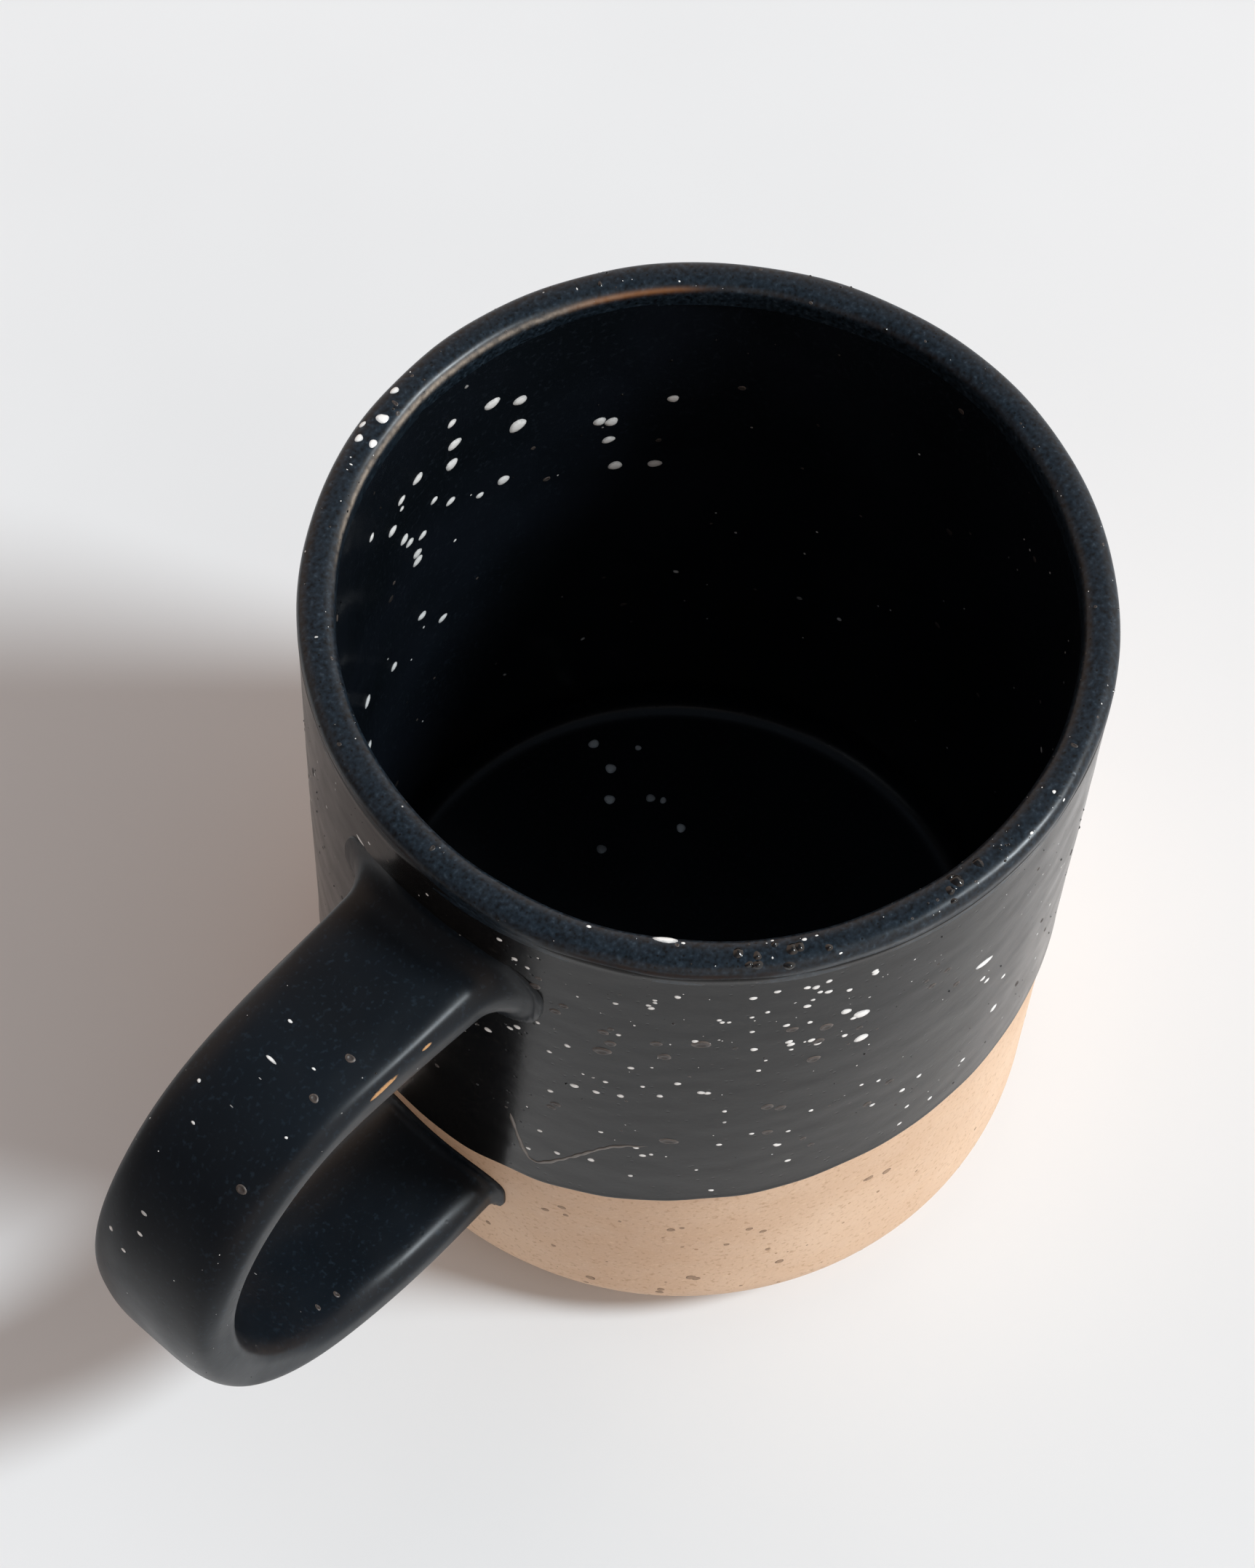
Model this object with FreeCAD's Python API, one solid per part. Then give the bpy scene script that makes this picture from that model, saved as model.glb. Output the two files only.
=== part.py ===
import FreeCAD, Part
import math
import os

# A hand-thrown stoneware mug, in millimetres.
# Origin: centre of the foot, on the table. +Z is up. The handle points along +X.
# The cup is one thrown clay body. The handle is a pulled strap, luted to the cup with
# two collars of slip. After a first firing the mug was lined with black glaze, dipped
# to a slanting line outside, and the two coats overlap in a band over the lip.

# ---- driving dimensions ----
CUP_DIAMETER = 84.0        # over the outer glaze
CUP_HEIGHT = 96.0          # table to the top of the glazed lip
GLAZE = 0.4                # thickness of one glaze coat
CLAY_WALL = 3.0            # bare clay wall between the two coats
FLOOR_TOP = 6.0            # table to the glazed floor inside
FLOOR_FILLET = 4.0         # inside corner between the floor and the wall
BASE_EDGE = 10.0           # rounding of the outer bottom edge
FOOT_WIDTH = 7.0           # width of the flat ring the mug stands on
FOOT_RECESS = 1.5          # depth of the hollow turned inside the foot ring
LIP_OUTER_EDGE = 1.1       # rounding of the clay lip, outside
LIP_INNER_EDGE = 0.9       # rounding of the clay lip, inside
LIP_CROWN = 0.25           # rise of the lip's top between its two edges
LIP_BAND = 3.0             # how far the overlap band comes down each wall
DIP_LINE = 36.0            # height of the outer glaze line on the mug's axis
DIP_SLOPE_X = -0.075       # rise of that line per mm towards the handle
DIP_SLOPE_Y = 0.14         # rise of that line per mm along +Y
STRAP_WIDTH = 15.9         # bare handle strap, middle
STRAP_THICK = 6.0          # bare handle strap, middle
STRAP_ROOT_EXTRA = 3.0     # the strap is this much wider where it leaves the wall
STRAP_SQUARENESS = 2.8     # exponent of the strap's rounded section
COLLAR = 2.6               # reach of each slip collar along the wall and the strap
COLLAR_SIDE = 0.6          # the collar spreads less at the strap's sides, where the wall recedes
COLLAR_TUCK = 0.5          # the collar's thin end runs this far on, inside the strap

# Centreline of the strap in the XZ plane, as (distance outside the wall, height).
STRAP_COURSE = (
    (0.0, 80.0),
    (14.0, 80.6),
    (27.0, 79.0),
    (36.5, 71.0),
    (40.3, 58.5),
    (37.0, 42.5),
    (28.0, 31.0),
    (15.0, 25.4),
    (0.0, 24.8),
)

# ---- derived ----
CLAY_R = CUP_DIAMETER / 2 - GLAZE
CLAY_IN_R = CLAY_R - CLAY_WALL
CLAY_TOP = CUP_HEIGHT - GLAZE - LIP_CROWN
CLAY_FLOOR = FLOOR_TOP - GLAZE
FOOT_OUT_R = CLAY_R - BASE_EDGE
FOOT_IN_R = FOOT_OUT_R - FOOT_WIDTH
BAND_Z = CUP_HEIGHT - LIP_BAND
ROOT_DEPTH = 3.0           # the strap is drawn this far into the wall, then cut back
SECTIONS = 17
AXIS = FreeCAD.Vector(0, 0, 1)


def at(r, z):
    """A point of a turned profile: radius r, height z."""
    return FreeCAD.Vector(r, 0, z)


def line(a, b):
    return Part.makeLine(a, b)


def corner(center, radius, start_deg):
    """A quarter arc round a centre, from start_deg, in the profile plane."""
    points = []
    for step in (0, 45, 90):
        a = math.radians(start_deg + step)
        points.append(center + FreeCAD.Vector(radius * math.cos(a), 0, radius * math.sin(a)))
    return Part.Arc(points[0], points[1], points[2]).toShape()


def turned(edges):
    """Turn a closed profile once round the mug's axis."""
    wire = Part.Wire(Part.__sortEdges__(edges))
    return Part.Face(wire).revolve(FreeCAD.Vector(0, 0, 0), AXIS, 360)


def outer_form(r, top, lip_edge, lip_in_r, lip_in_edge, base_edge, foot_r):
    """The cup as a filled block: foot, rounded base, straight wall and rounded lip."""
    crown = at((r + lip_in_r) / 2, top + LIP_CROWN)
    lip_out = at(r - lip_edge, top)
    lip_in = at(lip_in_r + lip_in_edge, top)
    edges = [
        line(at(0, 0), at(foot_r, 0)),
        corner(at(r - base_edge, base_edge), base_edge, -90),
        line(at(r, base_edge), at(r, top - lip_edge)),
        corner(at(r - lip_edge, top - lip_edge), lip_edge, 0),
        Part.Arc(lip_out, crown, lip_in).toShape(),
        corner(at(lip_in_r + lip_in_edge, top - lip_in_edge), lip_in_edge, 90),
        line(at(lip_in_r, top - lip_in_edge), at(0, top - lip_in_edge)),
        line(at(0, top - lip_in_edge), at(0, 0)),
    ]
    return turned(edges)


def cavity(r, floor, fillet):
    """The space inside the cup, open at the top."""
    above = CUP_HEIGHT + 10
    edges = [
        line(at(0, floor), at(r - fillet, floor)),
        corner(at(r - fillet, floor + fillet), fillet, -90),
        line(at(r, floor + fillet), at(r, CLAY_TOP - 2)),
        line(at(r, CLAY_TOP - 2), at(0, CLAY_TOP - 2)),
        line(at(0, CLAY_TOP - 2), at(0, floor)),
    ]
    lower = turned(edges)
    upper = Part.makeCylinder(r, above - CLAY_TOP + 3, at(0, CLAY_TOP - 3))
    return lower.fuse(upper)


def foot_hollow():
    """The shallow dish turned inside the foot ring."""
    slope = FOOT_RECESS
    return Part.makeCone(FOOT_IN_R, FOOT_IN_R - slope, FOOT_RECESS)


def clay_cup():
    block = outer_form(CLAY_R, CLAY_TOP, LIP_OUTER_EDGE, CLAY_IN_R, LIP_INNER_EDGE,
                       BASE_EDGE, FOOT_OUT_R)
    inside = cavity(CLAY_IN_R, CLAY_FLOOR, FLOOR_FILLET + GLAZE)
    return block.cut(inside).cut(foot_hollow())


def coat_block():
    """Everything the glaze could cover: the clay form grown by one coat."""
    return outer_form(CLAY_R + GLAZE, CLAY_TOP + GLAZE, LIP_OUTER_EDGE + GLAZE,
                      CLAY_IN_R - GLAZE, LIP_INNER_EDGE + GLAZE,
                      BASE_EDGE + GLAZE, FOOT_OUT_R)


def coat_parts(clay):
    """Split the coats into the dipped outside, the liner and the band over the lip."""
    space = cavity(CLAY_IN_R - GLAZE, FLOOR_TOP, FLOOR_FILLET)
    coats = coat_block().cut(space).cut(clay)
    big = 2 * CUP_DIAMETER
    above_band = Part.makeBox(big, big, big, FreeCAD.Vector(-big / 2, -big / 2, BAND_Z))
    lip = coats.common(above_band)
    below = coats.cut(above_band)
    core = Part.makeCylinder(CLAY_IN_R + CLAY_WALL / 2, CUP_HEIGHT, at(0, CLAY_FLOOR - GLAZE / 2))
    liner = below.common(core)
    outside = below.cut(core).cut(under_dip_line())
    return outside, liner, lip


def under_dip_line():
    """The half space below the slanting glaze line, as a large turned-over box."""
    big = 2 * CUP_DIAMETER
    box = Part.makeBox(big, big, big, FreeCAD.Vector(-big / 2, -big / 2, -big))
    normal = FreeCAD.Vector(-DIP_SLOPE_X, -DIP_SLOPE_Y, 1)
    tilt = FreeCAD.Rotation(AXIS, normal)
    box.Placement = FreeCAD.Placement(at(0, DIP_LINE), tilt)
    return box


def strap_course():
    """The strap's centreline, run a little way into the wall at both ends."""
    points = []
    for out, height in STRAP_COURSE:
        points.append(at(CLAY_R + out, height))
    points.insert(0, points[0] - FreeCAD.Vector(ROOT_DEPTH, 0, 0))
    points.append(points[-1] - FreeCAD.Vector(ROOT_DEPTH, 0, 0))
    curve = Part.BSplineCurve()
    curve.interpolate(points)
    return curve


def rounded_section(center, along, width, thick):
    """A closed rounded-rectangle wire, square to the strap's run, width along Y."""
    across = FreeCAD.Vector(0, 1, 0)
    up = along.cross(across)
    up.normalize()
    power = 2.0 / STRAP_SQUARENESS
    points = []
    count = 16
    for i in range(count):
        a = 2 * math.pi * (i + 0.5) / count
        c = math.copysign(abs(math.cos(a)) ** power, math.cos(a))
        s = math.copysign(abs(math.sin(a)) ** power, math.sin(a))
        points.append(center + across * (c * width / 2) + up * (s * thick / 2))
    curve = Part.BSplineCurve()
    curve.interpolate(points, True)
    return Part.Wire(curve.toShape())


def strap_size(share):
    """Width and thickness of the bare strap at a share of its run, 0 top to 1 bottom."""
    width = STRAP_WIDTH + STRAP_ROOT_EXTRA * math.exp(-share / 0.12)
    thick = STRAP_THICK + 0.5 * STRAP_ROOT_EXTRA * math.exp(-share / 0.08)
    return width, thick


def strap(grow):
    """The whole strap, grown by a coat thickness; its ends stand inside the wall."""
    curve = strap_course()
    first, last = curve.FirstParameter, curve.LastParameter
    wires = []
    for i in range(SECTIONS):
        share = i / (SECTIONS - 1)
        u = first + (last - first) * share
        along = curve.tangent(u)[0]
        width, thick = strap_size(share)
        wires.append(rounded_section(curve.value(u), along, width + 2 * grow,
                                     thick + 2 * grow))
    return Part.makeLoft(wires, True, False)


def collar(height, width, thick, grow):
    """A cone of slip round one root of the strap: wide in the wall, gone on the strap."""
    wires = []
    for out, beside, above in (
        (-ROOT_DEPTH, COLLAR_SIDE * (ROOT_DEPTH + COLLAR), ROOT_DEPTH + COLLAR),
        (COLLAR + COLLAR_TUCK, -COLLAR_SIDE * COLLAR_TUCK, -COLLAR_TUCK),
    ):
        center = at(CLAY_R + out, height)
        wires.append(rounded_section(center, FreeCAD.Vector(1, 0, 0),
                                     width + 2 * beside + 2 * grow,
                                     thick + 2 * above + 2 * grow))
    return Part.makeLoft(wires, True, True)


def main():
    os.makedirs("parts", exist_ok=True)
    clay = clay_cup()
    outside, liner, lip = coat_parts(clay)
    wall = Part.makeCylinder(CLAY_R, CUP_HEIGHT)

    top_z, low_z = STRAP_COURSE[0][1], STRAP_COURSE[-1][1]
    top_size, low_size = strap_size(0.03), strap_size(1)
    core = strap(0)
    top_cone = collar(top_z, top_size[0], top_size[1], 0)
    low_cone = collar(low_z, low_size[0], low_size[1], 0)
    handle = core.cut(wall)
    upper = top_cone.cut(wall).cut(core)
    lower = low_cone.cut(wall).cut(core)
    skin = strap(GLAZE).cut(core).cut(wall).cut(top_cone).cut(low_cone)
    outside = outside.cut(core).cut(top_cone)

    nodes = {
        "cup_body": clay,
        "handle": handle,
        "upper_slip_collar": upper,
        "lower_slip_collar": lower,
        "outer_glaze": outside,
        "liner_glaze": liner,
        "lip_glaze": lip,
        "handle_glaze": skin,
    }
    for name, shape in nodes.items():
        shape.exportStep("parts/" + name + ".step")
        box = shape.optimalBoundingBox(False)
        print(name, len(shape.Solids), round(shape.Volume, 1), shape.isValid(),
              round(box.ZMin, 2), round(box.ZMax, 2), round(box.XMax, 2))


main()
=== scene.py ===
# %% [markdown]
# # A stoneware mug, dipped in black glaze
#
# The mug is thrown from sandy clay. A strap is pulled for the handle and stuck on with slip.
# After a first firing it is lined with black glaze, then dipped upside down, a little
# slanting, so a band of bare clay is left round the foot. White grains in the glaze melt into
# flecks. This lesson loads the measured mug, lays finely worked surfaces over its plain ones
# and gives each its finish. Lengths are in metres, +Z is up and the handle points along +X.

# %% Load the measured mug
import math

import bpy
import numpy as np
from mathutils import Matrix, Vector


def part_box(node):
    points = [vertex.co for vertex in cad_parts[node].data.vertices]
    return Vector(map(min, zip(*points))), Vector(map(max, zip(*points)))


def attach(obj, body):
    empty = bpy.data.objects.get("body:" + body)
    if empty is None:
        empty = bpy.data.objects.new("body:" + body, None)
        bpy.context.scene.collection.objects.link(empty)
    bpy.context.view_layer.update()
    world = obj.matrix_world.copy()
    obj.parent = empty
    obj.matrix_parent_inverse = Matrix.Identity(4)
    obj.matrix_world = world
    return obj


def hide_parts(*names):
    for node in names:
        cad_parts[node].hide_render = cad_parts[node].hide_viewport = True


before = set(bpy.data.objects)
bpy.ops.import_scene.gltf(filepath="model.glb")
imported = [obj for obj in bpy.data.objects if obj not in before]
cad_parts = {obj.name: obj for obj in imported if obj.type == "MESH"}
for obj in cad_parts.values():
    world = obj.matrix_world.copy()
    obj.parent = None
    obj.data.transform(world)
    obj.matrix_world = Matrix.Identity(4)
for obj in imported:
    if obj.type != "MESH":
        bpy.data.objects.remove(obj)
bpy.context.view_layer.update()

MM = 0.001

# %% [markdown]
# ## Sizes that the surfaces share
#
# The radii and heights come from the loaded parts, so the new surfaces fit them. The walls,
# the floor and the slant of the dip line can't be read off a box, so they are repeated here
# with the values that the solids were made with. The inner corner is a little tighter than the
# plain solid's 4 mm.

# %% Read the mug's sizes from its parts
lip_low, lip_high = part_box("lip_glaze")
clay_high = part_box("cup_body")[1]
WALL_R = float(lip_high[1])
RIM_Z = float(lip_high[2])
BAND_Z = float(lip_low[2])
CLAY_R = float(clay_high[1])
COAT = WALL_R - CLAY_R
CLAY_WALL = 3 * MM
GLAZE = 0.4 * MM
WALL = CLAY_WALL + 2 * GLAZE
INNER_R = WALL_R - WALL
FLOOR_Z = 6.0 * MM
FILLET = 3 * MM
DIP_Z, DIP_X, DIP_Y = 36.0 * MM, -0.075, 0.14
print("radius", WALL_R, "rim", RIM_Z, "clay radius", CLAY_R, "coat", COAT)

# %% [markdown]
# ## Surfaces from numpy
#
# Every new piece is a grid of points: rows run along a profile, columns go round. One
# function turns such a grid into a mesh, closes it round the axis and can close the two ends
# with a fan of triangles to one middle point.

# %% Turn a grid of points into a mesh
rng = np.random.default_rng(7)


def grid_piece(name, points, cap_first=False, cap_last=False):
    """A mesh from points[row, column, xyz]. Columns close on themselves. Quad (r, c) joins
    row r and r + 1; a capped end gets one middle point, the mean of its ring."""
    rows, cols = points.shape[:2]
    ring = np.arange(cols)
    nxt = (ring + 1) % cols
    base = (np.arange(rows - 1) * cols)[:, None]
    quads = np.stack([base + ring, base + nxt, base + cols + nxt, base + cols + ring], -1)
    verts = points.reshape(-1, 3)
    faces = quads.reshape(-1, 4).tolist()
    if cap_first:
        faces += np.stack([np.full(cols, len(verts)), nxt, ring], -1).tolist()
        verts = np.vstack([verts, points[0].mean(0)])
    if cap_last:
        last = (rows - 1) * cols
        faces += np.stack([np.full(cols, len(verts)), last + ring, last + nxt], -1).tolist()
        verts = np.vstack([verts, points[-1].mean(0)])
    mesh = bpy.data.meshes.new(name)
    mesh.from_pydata(verts.tolist(), [], faces)
    mesh.polygons.foreach_set("use_smooth", np.ones(len(mesh.polygons), bool))
    mesh.update()
    piece = bpy.data.objects.new(name, mesh)
    bpy.context.scene.collection.objects.link(piece)
    print(name, len(verts), "points", len(faces), "faces")
    return piece


def point_value(piece, name, values):
    """Store one number per point, for the finish to read."""
    layer = piece.data.attributes.new(name, "FLOAT", "POINT")
    full = np.zeros(len(piece.data.vertices), np.float32)
    full[:values.size] = values.reshape(-1)
    layer.data.foreach_set("value", full)


# %% [markdown]
# ## The maker's hand
#
# Nothing thrown is quite round or smooth. Fingers leave a shallow spiral, the clay leans a
# hair, and the glaze pulls into faint waves. Sums of sine waves with whole turns round the
# axis give this without a seam.

# %% Uneven surfaces
WAVES = 18


def soft_waves(turn, along, cell, seed):
    """About -1 to 1: the sum of 18 sine waves in angle and height, of random direction and
    phase, with a wavelength near cell metres; each has a whole number of waves per turn. The
    sum seldom passes 4.2, so that is what it is divided by."""
    draw = np.random.default_rng(seed)
    total = np.zeros(np.broadcast(turn, along).shape)
    for _ in range(WAVES):
        heading = draw.uniform(0, math.pi)
        size = cell * draw.uniform(0.7, 1.6)
        waves = round(2 * math.pi * WALL_R / size * math.cos(heading))
        climb = 2 * math.pi / size * math.sin(heading)
        total += np.sin(waves * turn + climb * along + draw.uniform(0, 2 * math.pi))
    return total / 4.2


def finger_marks(turn, z):
    """The throwing spiral: ridges 7 mm apart that climb with the turn, 0.02 mm high, fading
    in and out, and a slow lean of the whole wall."""
    spiral = np.sin(2 * math.pi * z / (7 * MM) - turn + 0.6 * soft_waves(turn, z, 40 * MM, 3))
    fade = 0.6 + 0.4 * soft_waves(turn, z, 55 * MM, 5)
    return 0.012 * MM * spiral * fade + 0.045 * MM * soft_waves(turn, z, 34 * MM, 9)


def dip_height(turn):
    """Height of the glaze line: a plane that slants across the mug, plus a small wander."""
    x, y = WALL_R * np.cos(turn), WALL_R * np.sin(turn)
    wander = 0.16 * MM * soft_waves(turn, 0 * turn, 9 * MM, 11)
    return DIP_Z + DIP_X * x + DIP_Y * y + wander


# %% [markdown]
# ## The clay cup
#
# The bare cup shows below the glaze: a straight wall, a wide soft corner, and a foot ring
# turned on the wheel. It is one closed skin, from the middle of the underside, up the
# outside, over the lip and down to the middle of the floor.

# %% Profiles as paths of radius and height
def arc(r, z, size, start, stop, steps):
    """Points on a circle of that size round (r, z), from one angle in degrees to another."""
    a = np.radians(np.linspace(start, stop, steps))
    return np.stack([r + size * np.cos(a), z + size * np.sin(a)], -1)


def straight(r0, z0, r1, z1, steps):
    """Evenly spaced points from one (radius, height) to another, without the last."""
    t = np.linspace(0, 1, steps, endpoint=False)[:, None]
    return np.array([r0, z0]) * (1 - t) + np.array([r1, z1]) * t


def turned(profile, columns):
    """A profile of (radius, height) rows carried once round the axis."""
    turn = np.linspace(0, 2 * math.pi, columns, endpoint=False)
    r, z = profile[:, :1], profile[:, 1:]
    return turn[None, :] + 0 * r, r + 0 * turn, z + 0 * turn


def place(turn, r, z):
    """Cylinder coordinates to points."""
    return np.stack([r * np.cos(turn), r * np.sin(turn), z], -1)


BASE_EDGE = 10 * MM
FOOT_OUT = CLAY_R - BASE_EDGE
FOOT_IN = FOOT_OUT - 7 * MM
clay_top = float(clay_high[2])
clay_in = CLAY_R - CLAY_WALL
# The coats hide the clay above this height and all of it inside, so few rows do there.
HIDDEN_Z = 50 * MM
CLAY_FILLET = FILLET + GLAZE
LIP_ROUND = 1.2 * MM
cup_profile = np.vstack([
    straight(0.6 * MM, 1.5 * MM, FOOT_IN - 2 * MM, 1.5 * MM, 8),
    arc(FOOT_IN - 2 * MM, 0.75 * MM, 0.75 * MM, 90, 0, 5)[:-1],
    arc(FOOT_IN, 0.6 * MM, 0.6 * MM, 180, 270, 5)[:-1],
    straight(FOOT_IN + 0.8 * MM, 0, FOOT_OUT, 0, 6),
    arc(FOOT_OUT, BASE_EDGE, BASE_EDGE, -90, 0, 26)[:-1],
    straight(CLAY_R, BASE_EDGE, CLAY_R, HIDDEN_Z, 44),
    straight(CLAY_R, HIDDEN_Z, CLAY_R, clay_top - LIP_ROUND, 6),
    arc(CLAY_R - LIP_ROUND, clay_top - LIP_ROUND, LIP_ROUND, 0, 90, 5),
    arc(clay_in + 1 * MM, clay_top - 1 * MM, 1 * MM, 90, 180, 5),
    straight(clay_in, clay_top - 1.5 * MM, clay_in, 10 * MM, 8),
    arc(clay_in - CLAY_FILLET, FLOOR_Z + FILLET, CLAY_FILLET, 0, -90, 9)[:-1],
    straight(clay_in - CLAY_FILLET, FLOOR_Z - GLAZE, 0.6 * MM, FLOOR_Z - GLAZE, 6),
])
turn, r, z = turned(cup_profile, 360)
outside = r > CLAY_R - CLAY_WALL
r = r + np.where(outside & (z < 60 * MM), finger_marks(turn, z) - 0.05 * MM, 0)
clay_cup = grid_piece("clay_cup", place(turn, r, z), True, True)
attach(clay_cup, "root")
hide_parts("cup_body")

# %% [markdown]
# ## The dipped coat
#
# Outside, the glaze is one skin 0.4 mm thick. Its lower edge is a rounded bead, because
# melted glaze draws itself up before it sets. The rows start on the clay under the bead, go
# round it and climb to the lip.

# %% Outer coat from the dip line up to the lip
def outer_wall(turn, z):
    """Radius of the glazed wall at an angle and a height."""
    ripple = 0.006 * MM * soft_waves(turn, z * 1.6, 6 * MM, 21)
    return WALL_R + finger_marks(turn, z) + ripple


BEAD = 0.55 * MM
LIP_RISE = 1.7 * MM
coat_turn = np.linspace(0, 2 * math.pi, 540, endpoint=False)[None, :]
bead_angle = np.radians(np.linspace(-95, 0, 9))[:, None]
line = dip_height(coat_turn)
bead_z = line + BEAD * (1 + np.sin(bead_angle))
bead_r = outer_wall(coat_turn, bead_z) - BEAD * (1 - np.cos(bead_angle)) + 0.05 * MM
climb = np.linspace(0, 1, 166)[1:, None]
ragged_top = 0.12 * MM * soft_waves(coat_turn, 0 * coat_turn, 16 * MM, 23)
coat_top = RIM_Z - LIP_RISE - 0.1 * MM + ragged_top
wall_z = line + BEAD + (coat_top - line - BEAD) * climb
wall_r = outer_wall(coat_turn, wall_z) + 0.05 * MM * np.exp(-(wall_z - line) / (0.9 * MM))
over_lip = np.clip((wall_z - BAND_Z) / (0.6 * MM), 0, 1)
wall_r = wall_r + 0.05 * MM * over_lip - 0.14 * MM * (climb == 1)
coat_points = place(coat_turn + 0 * np.vstack([bead_z, wall_z]),
                    np.vstack([bead_r, wall_r]), np.vstack([bead_z, wall_z]))
outer_coat = grid_piece("outer_coat", coat_points)
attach(outer_coat, "root")
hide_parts("outer_glaze")

# %% [markdown]
# ## The lip
#
# The two coats overlap on the lip, which makes it a little thicker than the wall, with a thin
# shoulder on the outside. Its section is a flattened oval, nearly flat on top, tight at both
# edges.

# %% The lip as a surface
LIP_POWER = 2.7
LIP_SIDE = 0.16


def lip_section(share):
    """Radius and height along the lip's section, share 0 outside to 1 inside: a straight
    side at each end, and between them the upper half of an oval |x|^2.7 + |z|^2.7 = 1."""
    low = RIM_Z - LIP_RISE
    mid = WALL_R - WALL / 2
    angle = np.clip((share - LIP_SIDE) / (1 - 2 * LIP_SIDE), 0, 1) * math.pi
    over = np.sign(np.cos(angle)) * np.abs(np.cos(angle)) ** (2 / LIP_POWER)
    rise = np.abs(np.sin(angle)) ** (2 / LIP_POWER)
    drop = np.clip((LIP_SIDE - share) / LIP_SIDE, 0, 1)
    drop = drop + np.clip((share - 1 + LIP_SIDE) / LIP_SIDE, 0, 1)
    height = low + LIP_RISE * rise - (low - BAND_Z + 0.2 * MM) * drop
    proud = 0.04 * MM * np.clip(share / LIP_SIDE, 0, 1)
    return mid + (WALL / 2 + proud) * over, height


def lip_surface(turn, share):
    """The lip as points: its section, swollen by slow waves and nicked by the shoulder."""
    r, z = lip_section(share)
    swell = 0.05 * MM * soft_waves(turn, share * 12 * MM, 14 * MM, 31)
    shoulder = 0.04 * MM * np.exp(-((share - 0.14) / 0.04) ** 2)
    side = np.clip((r - WALL_R + WALL / 2) / (WALL / 2), -1, 1)
    wander = finger_marks(turn, z + 0 * turn)
    r = r + (swell - shoulder) * side + wander
    z = z + 0.07 * MM * soft_waves(turn, 0 * turn, 45 * MM, 33) * (share > 0.1) * (share < 0.9)
    return place(turn, r, z)


# %% Lip band, its thin and amber glaze, and the painted shade and painted highlight on its edges
lip_turn = np.linspace(0, 2 * math.pi, 900, endpoint=False)[None, :]
lip_share = np.linspace(0, 1, 72)[:, None]
lip_band = grid_piece("lip_band", lip_surface(lip_turn, lip_share))


def stretch_of(turn, middle, half):
    """1 on a stretch of the rim round an angle in degrees, fading to 0 past the half width:
    exp(-(difference / half)^4)."""
    off = (np.degrees(turn) - middle + 180) % 360 - 180
    return np.exp(-(off / half) ** 4)


patchy = np.clip(0.55 + 0.6 * soft_waves(lip_turn, lip_share * 5 * MM, 26 * MM, 35), 0, 1)
# Painted shade, in part: the dark brown line under the lip's outer edge, strongest on the front, is
# glaze breaking thin over the edge and also a shade line under the lip's bead.
outer_edge = np.exp(-((lip_share - 0.20) / 0.05) ** 2)
inner_edge = np.exp(-((lip_share - 0.725) / 0.045) ** 2)
thin_and_shade = outer_edge * (0.05 + 1.1 * stretch_of(lip_turn, 28, 50)) * patchy
thin_and_shade = thin_and_shade + 0.25 * inner_edge * patchy
# The pale band on the inner edge, on the far side where the edge faces the lamp, is partly glaze
# worn thin over clay and partly a painted highlight.
pale = inner_edge * stretch_of(lip_turn, 270, 33) * (0.6 + 0.4 * patchy)
point_value(lip_band, "thin_glaze_and_shade", thin_and_shade)
point_value(lip_band, "amber_glaze", inner_edge * stretch_of(lip_turn, 234, 10))
point_value(lip_band, "pale_edge_and_highlight", pale)
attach(lip_band, "root")
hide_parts("lip_glaze")

# %% [markdown]
# ## The liner
#
# Glaze poured in and out again coats the inside. It hides nearly all of the wheel's marks;
# only a soft ring is left where the wall turns into the floor.

# %% Liner from the lip down to the middle of the floor
def inner_wall(turn, z):
    """Radius of the glazed inside wall."""
    return INNER_R - 0.5 * finger_marks(turn, z) - 0.015 * MM * soft_waves(turn, z, 5 * MM, 41)


liner_profile = np.vstack([
    straight(INNER_R, BAND_Z + 0.2 * MM, INNER_R, FLOOR_Z + FILLET, 120),
    arc(INNER_R - FILLET, FLOOR_Z + FILLET, FILLET, 0, -90, 14)[:-1],
    straight(INNER_R - FILLET, FLOOR_Z, 0.5 * MM, FLOOR_Z - 0.1 * MM, 34),
])
turn, r, z = turned(liner_profile, 420)
on_wall = z > FLOOR_Z + FILLET
r = np.where(on_wall, inner_wall(turn, z), r)
liner = grid_piece("liner_coat", place(turn, r, z), False, True)
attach(liner, "root")
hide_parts("liner_glaze")

# %% [markdown]
# ## The handle
#
# The handle is a strap pulled by hand: flat, with rounded edges, wider where it leaves the
# wall. Its section is carried along a smooth course, and near the wall each section is pushed
# outwards to make the slip's small fillet.

# %% The strap's course
STRAP_COURSE = np.array([
    (-3.0, 80.0), (0.0, 80.0), (14.0, 80.6), (27.0, 79.0), (36.5, 71.0), (40.3, 58.5),
    (37.0, 42.5), (28.0, 31.0), (15.0, 25.4), (0.0, 24.8), (-3.0, 24.8),
]) * MM
STRAP_WIDTH = 15.9 * MM
STRAP_THICK = 6.0 * MM
ROOT_EXTRA = 3.0 * MM
# Squarer than the plain solid's 2.8, which leaves the strap's faces flatter.
STRAP_POWER = 3.3
# Round numbers for the course's length and the section's mean radius, which turn the strap's
# two parameters into lengths on it.
STRAP_RUN = 160 * MM
STRAP_GIRTH = 7.5 * MM
print("strap course from", STRAP_COURSE[1].tolist(), "to", STRAP_COURSE[-2].tolist())

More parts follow.
